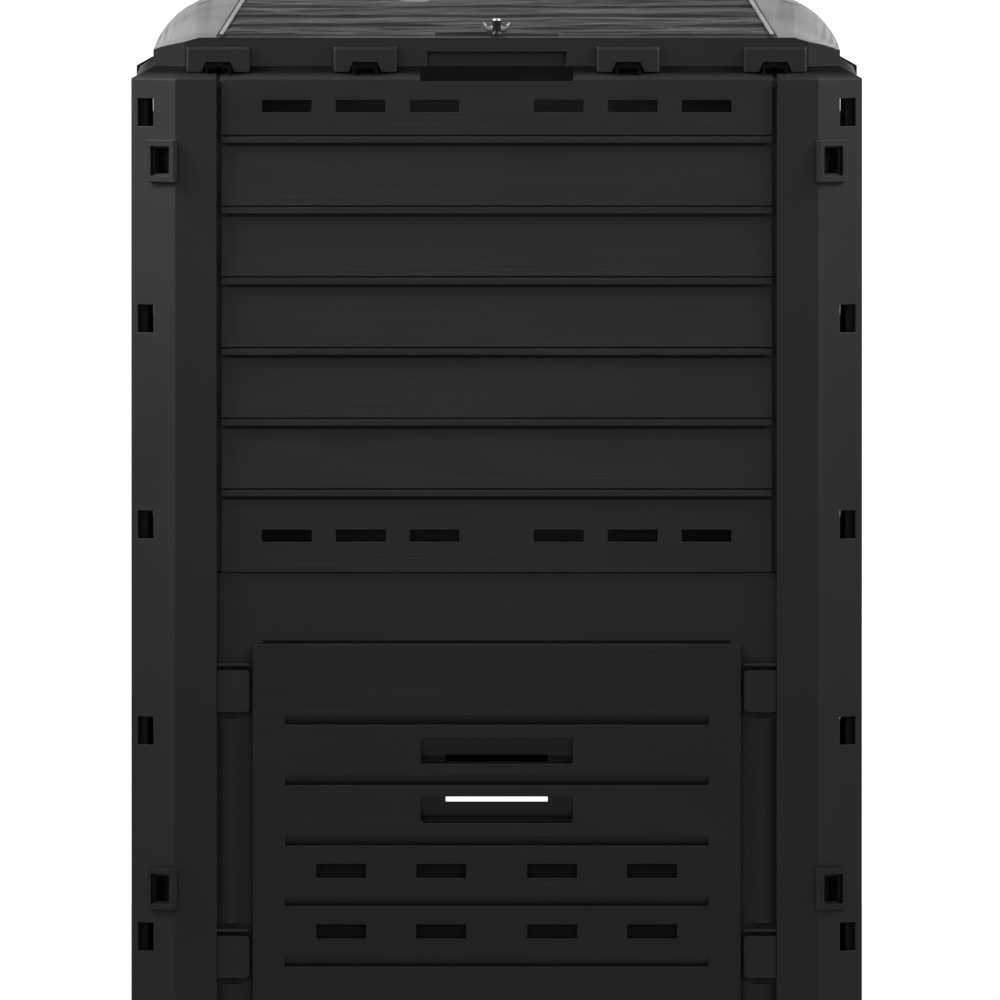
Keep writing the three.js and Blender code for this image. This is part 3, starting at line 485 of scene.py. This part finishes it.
def grown(name, group, values):
    # runs a geometry tree once and keeps what it makes as a plain mesh object
    holder = added(name, bpy.data.meshes.new(name))
    modifier = holder.modifiers.new("grow", "NODES")
    modifier.node_group = group
    for item in group.interface.items_tree:
        if item.in_out == "INPUT" and item.name in values:
            modifier[item.identifier] = values[item.name]
    scene = bpy.context.evaluated_depsgraph_get()
    mesh = bpy.data.meshes.new_from_object(holder.evaluated_get(scene), preserve_all_data_layers=True,
                                           depsgraph=scene)
    holder.modifiers.remove(modifier)
    holder.data = mesh
    return holder


mergeDistance = 0.00001


def mergedCopy(name, smoothAngle, chosen):
    # a CAD node's mesh with its triangles merged; edges between chosen faces that nearly line up are smooth
    mesh = nodes[name].data.copy()
    work = bmesh.new()
    work.from_mesh(mesh)
    bmesh.ops.remove_doubles(work, verts=work.verts, dist=mergeDistance)
    for face in work.faces:
        face.smooth = chosen(face.normal)
    for edge in work.edges:
        edge.smooth = (len(edge.link_faces) == 2 and all(face.smooth for face in edge.link_faces)
                       and edge.calc_face_angle() < math.radians(smoothAngle))
    work.to_mesh(mesh)
    work.free()
    return added(name + "Dressed", mesh)


def turnedRound(mesh):
    for vertex in mesh.vertices:
        vertex.co.x, vertex.co.y = -vertex.co.x, -vertex.co.y


def joinedObjects(name, parts):
    # several mesh objects as one, each part keeping its materials
    whole = bmesh.new()
    mesh = bpy.data.meshes.new(name)
    for part in parts:
        first = len(mesh.materials)
        for material in part.data.materials:
            mesh.materials.append(material)
        before = len(whole.faces)
        whole.from_mesh(part.data)
        whole.faces.ensure_lookup_table()
        for face in whole.faces[before:]:
            face.material_index += first
    whole.to_mesh(mesh)
    whole.free()
    made = added(name, mesh)
    for part in parts:
        bpy.data.objects.remove(part)
    return made


roof = {"slope": 0.108773, "crest": 1.1537, "tilt": 0.10835}  # the flaps' plane, which drops from the crest

plankWaves = {"detail": 3.0, "roughness": 0.5, "distortion": 0.6}

flapLook = {
    "Columns": 136, "Rows": 112, "Planks": 4,
    "Front": -0.3312, "Back": -0.0465, "Front Half": 0.2686, "Back Half": 0.2469,
    "Crest": roof["crest"], "Slope": roof["slope"],
    "Rise": 0.0023, "Tail": 0.0012, "Round Front": 0.14, "Round Back": 0.86,
    "Wave": 0.0075, "Waves Across": 8.0, "Waves Along": 34.0, "Seed": 2.0,
    "Finger Half": 0.061, "Finger Depth": 0.0198, "Finger Floor": 0.0003,
}


def buildPlankSheet():
    # the planked top of a flap: lapped, softly rounded planks with a wavy grain, and a finger recess
    tree, given, out = shapeTree("plankSheet", flapLook)
    grid = shaped(tree, "GeometryNodeMeshGrid", Size_X=1.0, Size_Y=1.0, Vertices_X=given["Columns"],
                  Vertices_Y=given["Rows"])
    corner = split(tree, tree.nodes.new("GeometryNodeInputPosition").outputs[0])
    u = product(tree, corner["X"], 2.0)
    v = mathNode(tree, "ADD", corner["Y"], 0.5, clamp=True)
    y = mapped(tree, v, 0.0, 1.0, given["Front"], given["Back"])
    x = product(tree, u, mapped(tree, v, 0.0, 1.0, given["Front Half"], given["Back Half"]))
    level = mathNode(tree, "MULTIPLY_ADD", given["Slope"], y, given["Crest"])
    share = mathNode(tree, "FRACT", product(tree, v, given["Planks"]))
    lap = mapped(tree, share, 0.0, 1.0, given["Rise"], given["Tail"])
    rounded = product(tree, mapped(tree, share, 0.0, given["Round Front"], 0.0, 1.0, True),
                      mapped(tree, share, given["Round Back"], 1.0, 1.0, 0.0, True))
    place = combined(tree, product(tree, x, given["Waves Across"]), product(tree, y, given["Waves Along"]),
                     given["Seed"])
    waves = mathNode(tree, "SUBTRACT", noiseNode(tree, place, 1.0, **plankWaves), 0.5)
    rise = product(tree, total(tree, lap, product(tree, waves, given["Wave"])), rounded)
    across = mathNode(tree, "LESS_THAN", mathNode(tree, "ABSOLUTE", x), given["Finger Half"])
    fromFront = mathNode(tree, "SUBTRACT", y, given["Front"])
    finger = product(tree, across, mathNode(tree, "LESS_THAN", fromFront, given["Finger Depth"]))
    rise = total(tree, product(tree, rise, mathNode(tree, "SUBTRACT", 1.0, finger)),
                 product(tree, given["Finger Floor"], finger))
    sheet = shaped(tree, "GeometryNodeSetPosition", Geometry=grid,
                   Position=combined(tree, x, y, total(tree, level, rise)))
    fed(tree, out, finishedOff(tree, sheet, given["Finish"]))
    return tree


beadLook = {
    "Points": 72, "Start": -0.3378, "End": -0.041, "Front": -0.3314, "Front Half": 0.2705, "Back": -0.0395,
    "Back Half": 0.2486, "Crest": roof["crest"], "Slope": roof["slope"], "Width": 0.0042, "Height": 0.0026,
    "Lift": 0.0017, "Hook": 0.0026, "Bend": 0.0034,
}


def buildSideBead():
    # a flat bead along each side of a flap, which hooks over the lid's front edge
    tree, given, out = shapeTree("sideBead", beadLook)
    line = shaped(tree, "GeometryNodeCurvePrimitiveLine", Start=(0, 0, 0), End=(1, 0, 0))
    points = shaped(tree, "GeometryNodeResampleCurve", Curve=line, Count=given["Points"])
    along = split(tree, tree.nodes.new("GeometryNodeInputPosition").outputs[0])["X"]
    closer = mathNode(tree, "POWER", along, 2.0)  # the points crowd towards the hook
    y = mapped(tree, closer, 0.0, 1.0, given["Start"], given["End"])
    x = mapped(tree, y, given["Front"], given["Back"], given["Front Half"], given["Back Half"])
    level = mathNode(tree, "MULTIPLY_ADD", given["Slope"], y, given["Crest"])
    bend = total(tree, given["Start"], given["Bend"])
    hook = product(tree, given["Hook"], mapped(tree, y, given["Start"], bend, 1.0, 0.0, True))
    z = total(tree, mathNode(tree, "SUBTRACT", level, hook), given["Lift"])
    path = shaped(tree, "GeometryNodeSetPosition", Geometry=points, Position=combined(tree, x, y, z))
    section = shaped(tree, "GeometryNodeCurvePrimitiveQuadrilateral", Width=given["Width"],
                     Height=given["Height"])
    bead = shaped(tree, "GeometryNodeCurveToMesh", Curve=path, Profile_Curve=section, Fill_Caps=True)
    mirrored = shaped(tree, "GeometryNodeTransform", Geometry=bead, Scale=(-1, 1, 1))
    mirrored = shaped(tree, "GeometryNodeFlipFaces", Mesh=mirrored)
    fed(tree, out, finishedOff(tree, joined(tree, [bead, mirrored]), given["Finish"]))
    return tree


flapBase = {"skim": 0.0001, "ridge": 0.0463, "smoothAngle": 35, "beadAngle": 50}


def flapSide(normal):
    # the barrels and edges that run along the lid, and not the flat underside
    return abs(normal.x) < 0.1 and abs(normal.z) < 0.98


def dressFlap(name, turned):
    # the CAD flap with its planks pressed down, under a planked sheet and between two side beads
    base = mergedCopy(name, flapBase["smoothAngle"], flapSide)
    base.data.materials.clear()
    base.data.materials.append(finishes["lid"])
    for vertex in base.data.vertices:
        level = roof["crest"] - roof["slope"] * abs(vertex.co.y) + flapBase["skim"]
        if vertex.co.z > level and abs(vertex.co.y) > flapBase["ridge"]:
            vertex.co.z = level
    sheet = grown(name + "Sheet", plankSheet, flapLook | {"Finish": finishes["planks"]})
    beads = grown(name + "Beads", sideBead, beadLook | {"Finish": finishes["bead"]})
    beads.data.set_sharp_from_angle(angle=math.radians(flapBase["beadAngle"]))
    if turned:
        turnedRound(sheet.data)
        turnedRound(beads.data)
    made = joinedObjects(name + "Dressed", [base, sheet, beads])
    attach(made, name)
    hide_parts(name)


screwLook = {
    "Sides": 40, "Hub Radius": 0.0045, "Hub Foot": 0.0036, "Hub Top": 0.0165,
    "Cap": 0.0014, "Cap Share": 0.8, "Collar Radius": 0.0056, "Collar Foot": 0.0015, "Collar Top": 0.0041,
    "Shank Radius": 0.0026, "Shank Length": 0.015,
    "Thread": 0.0005, "Thread Sides": 6, "Turns": 11.0, "Turn Steps": 24,
    "Wing Reach": 0.0131, "Wing Rise": 0.0128, "Wing Root": 0.0042, "Wing Tip": 0.0004,
    "Wing Steps": 20, "Wing Sides": 16, "Wing Flatness": 0.42,
    "Root Share": 0.6, "Root Rise": 0.0026, "Elbow Share": 0.8, "Elbow Rise": 0.0012,
}
screwSeat = {"place": (0, -0.3194, 1.118958), "smoothAngle": 40}


def upright(tree, sides, radius, top, foot, height):
    # a turned length of the screw between two heights
    cone = shaped(tree, "GeometryNodeMeshCone", Vertices=sides, Radius_Bottom=radius, Radius_Top=top,
                  Depth=mathNode(tree, "SUBTRACT", height, foot))
    return shaped(tree, "GeometryNodeTransform", Geometry=cone, Translation=combined(tree, 0.0, 0.0, foot))


def buildWingScrew():
    # a screw with two upswept wings: collar, shank with a thread, and wings that taper to their tips
    tree, given, out = shapeTree("wingScrew", screwLook)
    tree.interface.new_socket("Hub Shade", in_out="INPUT", socket_type="NodeSocketMaterial")
    sides, hubRadius, hubFoot = given["Sides"], given["Hub Radius"], given["Hub Foot"]
    capFoot = mathNode(tree, "SUBTRACT", given["Hub Top"], given["Cap"])
    narrow = product(tree, hubRadius, given["Cap Share"])
    hub = upright(tree, sides, hubRadius, hubRadius, hubFoot, capFoot)
    cap = upright(tree, sides, hubRadius, narrow, capFoot, given["Hub Top"])
    collar = upright(tree, sides, given["Collar Radius"], hubRadius, given["Collar Foot"],
                     given["Collar Top"])
    down = product(tree, given["Shank Length"], -1.0)
    shank = upright(tree, sides, given["Shank Radius"], given["Shank Radius"], down, given["Collar Foot"])
    spiral = shaped(tree, "GeometryNodeCurveSpiral", Resolution=given["Turn Steps"],
                    Rotations=given["Turns"], Start_Radius=given["Shank Radius"],
                    End_Radius=given["Shank Radius"], Height=given["Shank Length"])
    crest = shaped(tree, "GeometryNodeCurvePrimitiveCircle", Resolution=given["Thread Sides"],
                   Radius=given["Thread"])
    thread = shaped(tree, "GeometryNodeCurveToMesh", Curve=spiral, Profile_Curve=crest, Fill_Caps=True)
    thread = shaped(tree, "GeometryNodeTransform", Geometry=thread,
                    Translation=combined(tree, 0.0, 0.0, down))
    root = combined(tree, product(tree, hubRadius, given["Root Share"]), 0.0,
                    total(tree, hubFoot, given["Root Rise"]))
    elbow = combined(tree, product(tree, given["Wing Reach"], given["Elbow Share"]), 0.0,
                     total(tree, hubFoot, given["Elbow Rise"]))
    tip = combined(tree, given["Wing Reach"], 0.0, given["Wing Rise"])
    sweep = shaped(tree, "GeometryNodeCurveQuadraticBezier", Resolution=given["Wing Steps"], Start=root,
                   Middle=elbow, End=tip)
    factor = tree.nodes.new("GeometryNodeSplineParameter").outputs["Factor"]
    width = mapped(tree, factor, 0.0, 1.0, given["Wing Root"], given["Wing Tip"])
    ellipse = shaped(tree, "GeometryNodeCurvePrimitiveCircle", Resolution=given["Wing Sides"], Radius=1.0)
    section = shaped(tree, "GeometryNodeTransform", Geometry=ellipse,
                     Scale=combined(tree, given["Wing Flatness"], 1.0, 1.0))
    wing = shaped(tree, "GeometryNodeCurveToMesh", Curve=sweep, Profile_Curve=section, Scale=width,
                  Fill_Caps=True)
    other = shaped(tree, "GeometryNodeTransform", Geometry=wing, Rotation=(0, 0, math.pi))
    bright = finishedOff(tree, joined(tree, [wing, other, cap, shank, thread]), given["Finish"])
    # painted shade: hub and collar get the near-black zinc
    dark = finishedOff(tree, joined(tree, [hub, collar]), given["Hub Shade"])
    fed(tree, out, joined(tree, [bright, dark]))
    return tree


def dressScrew(name, turned):
    metal = {"Finish": finishes["zinc"], "Hub Shade": finishes["hubShadeZinc"]}
    made = grown(name + "Dressed", wingScrew, screwLook | metal)
    lean = mathutils.Matrix.Rotation(roof["tilt"], 4, "X")
    made.data.transform(mathutils.Matrix.Translation(screwSeat["place"]) @ lean)
    if turned:
        turnedRound(made.data)
    made.data.set_sharp_from_angle(angle=math.radians(screwSeat["smoothAngle"]))
    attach(made, name)
    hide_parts(name)


smoothAngles = {"hingePin": 40, "lidFrame": 28, "doorFrame": 30}

# which faces may be shaded smoothly: a pin's round side, the lid's roof, and the beads beside the door

def pinSide(normal):
    return abs(normal.x) < 0.1


def roofSide(normal):
    return normal.z > 0.3


def beadSide(normal):
    return normal.y < -0.3 and abs(normal.x) > 0.02


def dressSmooth(name, angle, chosen):
    made = mergedCopy(name, angle, chosen)
    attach(made, "bin")
    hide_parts(name)


plankSheet = buildPlankSheet()
sideBead = buildSideBead()
wingScrew = buildWingScrew()
for end, turned in (("front", False), ("rear", True)):
    dressFlap(f"{end}_flap", turned)
    dressScrew(f"{end}_wing_screw", turned)
    dressSmooth(f"{end}_hinge_pin", smoothAngles["hingePin"], pinSide)
dressSmooth("lid_frame", smoothAngles["lidFrame"], roofSide)
dressSmooth("door_frame", smoothAngles["doorFrame"], beadSide)
print("pieces dressed")


# The studio

studio = {
    "distance": 40.0,
    "elevation": 1.85,
    "aim": (0.00325, -0.359, 0.6635),
    "fieldWidth": 0.9815,
    "sensor": 36.0,
    "clipEnd": 100.0,
}

lamps = {
    "leftKey": {"place": (-2.0, -2.0, 2.1), "target": (0, -0.36, 1.0), "size": (0.5, 0.5),
                "spread": 55, "power": 0.6},
    "rightKey": {"place": (2.0, -2.0, 2.1), "target": (0, -0.36, 1.0), "size": (0.5, 0.5),
                 "spread": 55, "power": 0.7},
    "leftStrip": {"place": (-1.3, -0.55, 2.0), "target": (-0.3, -0.3, 1.1), "size": (0.5, 0.8),
                  "spread": 42, "power": 2.8},
    "rightStrip": {"place": (1.3, -0.55, 2.0), "target": (0.3, -0.3, 1.1), "size": (0.5, 0.8),
                   "spread": 42, "power": 1.85},
    "insideLamp": {"place": (0, 0.1, 0.85), "target": (0, 0.36, 0.85), "size": (0.3, 0.3),
                   "spread": 180, "power": 0.2},
}

backdrop = {
    "front": 0.38, "side": 0.34, "ceiling": 0.12, "rear": 1.36,
    "behind": (0.35, 0.75), "lowBand": (0.14, 0.5), "highBand": (0.3, 0.8),  # where each starts and ends
}

floorLook = {"radius": 6.0, "sides": 64, "drop": 0.0005, "tone": (0.82, 0.82, 0.82, 1), "rough": 0.7,
             "fade": (0.7, 1.3)}


def buildCamera():
    data = bpy.data.cameras.new("camera")
    camera = added("camera", data)
    tilt = math.radians(studio["elevation"])
    x, y, z = studio["aim"]
    camera.location = (x, y - studio["distance"] * math.cos(tilt), z + studio["distance"] * math.sin(tilt))
    camera.rotation_euler = (math.pi / 2 - tilt, 0, 0)
    data.sensor_width = studio["sensor"]
    data.lens = studio["sensor"] * studio["distance"] / studio["fieldWidth"]
    data.clip_end = studio["clipEnd"]
    bpy.context.scene.camera = camera


def buildLamp(name, lamp):
    data = bpy.data.lights.new(name, "AREA")
    data.shape = "RECTANGLE"
    data.size, data.size_y = lamp["size"]
    data.energy = lamp["power"]
    data.spread = math.radians(lamp["spread"])
    made = added(name, data)
    made.location = lamp["place"]
    x, y, z = (b - a for a, b in zip(lamp["place"], lamp["target"]))
    made.rotation_euler = (math.atan2(math.hypot(x, y), -z), 0, math.atan2(y, x) - math.pi / 2)


def buildWorld():
    # a white backdrop low behind the bin, and a dim room elsewhere
    world = bpy.data.worlds.new("studioWorld")
    bpy.context.scene.world = world
    world.use_nodes = True
    tree = world.node_tree
    background = tree.nodes["Background"].inputs
    way = split(tree, tree.nodes.new("ShaderNodeTexCoord").outputs["Generated"])
    behind = mapped(tree, way["Y"], *backdrop["behind"], 0.0, 1.0, True)
    low = mapped(tree, mathNode(tree, "ABSOLUTE", way["Z"]), *backdrop["lowBand"], 1.0, 0.0, True)
    high = mapped(tree, way["Z"], *backdrop["highBand"], 0.0, 1.0, True)
    room = mapped(tree, way["Y"], -1.0, 0.0, backdrop["front"], backdrop["side"])
    room = mixNode(tree, "FLOAT", high, room, backdrop["ceiling"])
    glow = mixNode(tree, "FLOAT", product(tree, behind, low), room, backdrop["rear"])
    seen = tree.nodes.new("ShaderNodeLightPath").outputs["Is Camera Ray"]
    background["Color"].default_value = (1, 1, 1, 1)
    fed(tree, background["Strength"], mathNode(tree, "MAXIMUM", glow, seen))


def buildFloor():
    # a pale floor that keeps the bin's shadow and fades to white away from it
    bpy.ops.mesh.primitive_circle_add(vertices=floorLook["sides"], radius=floorLook["radius"],
                                      fill_type="NGON", location=(0, 0, -floorLook["drop"]))
    floor = bpy.context.object
    floor.name = "floor"
    material = bpy.data.materials.new("paleFloor")
    material.use_nodes = True
    tree = material.node_tree
    shader = tree.nodes["Principled BSDF"]
    shader.inputs["Base Color"].default_value = floorLook["tone"]
    shader.inputs["Roughness"].default_value = floorLook["rough"]
    glow = tree.nodes.new("ShaderNodeEmission")
    both = tree.nodes.new("ShaderNodeMixShader")
    away = vectorNode(tree, "LENGTH", objectPlace(tree))
    fade = mapped(tree, away, *floorLook["fade"], 0.0, 1.0)
    seen = tree.nodes.new("ShaderNodeLightPath").outputs["Is Camera Ray"]
    fed(tree, both.inputs["Fac"], product(tree, fade, seen))
    fed(tree, both.inputs[1], shader.outputs[0])
    fed(tree, both.inputs[2], glow.outputs[0])
    fed(tree, tree.nodes["Material Output"].inputs["Surface"], both.outputs[0])
    floor.data.materials.append(material)


buildCamera()
for name, lamp in lamps.items():
    buildLamp(name, lamp)
buildWorld()
buildFloor()
bpy.context.scene.view_settings.view_transform = "Standard"
print("studio built")
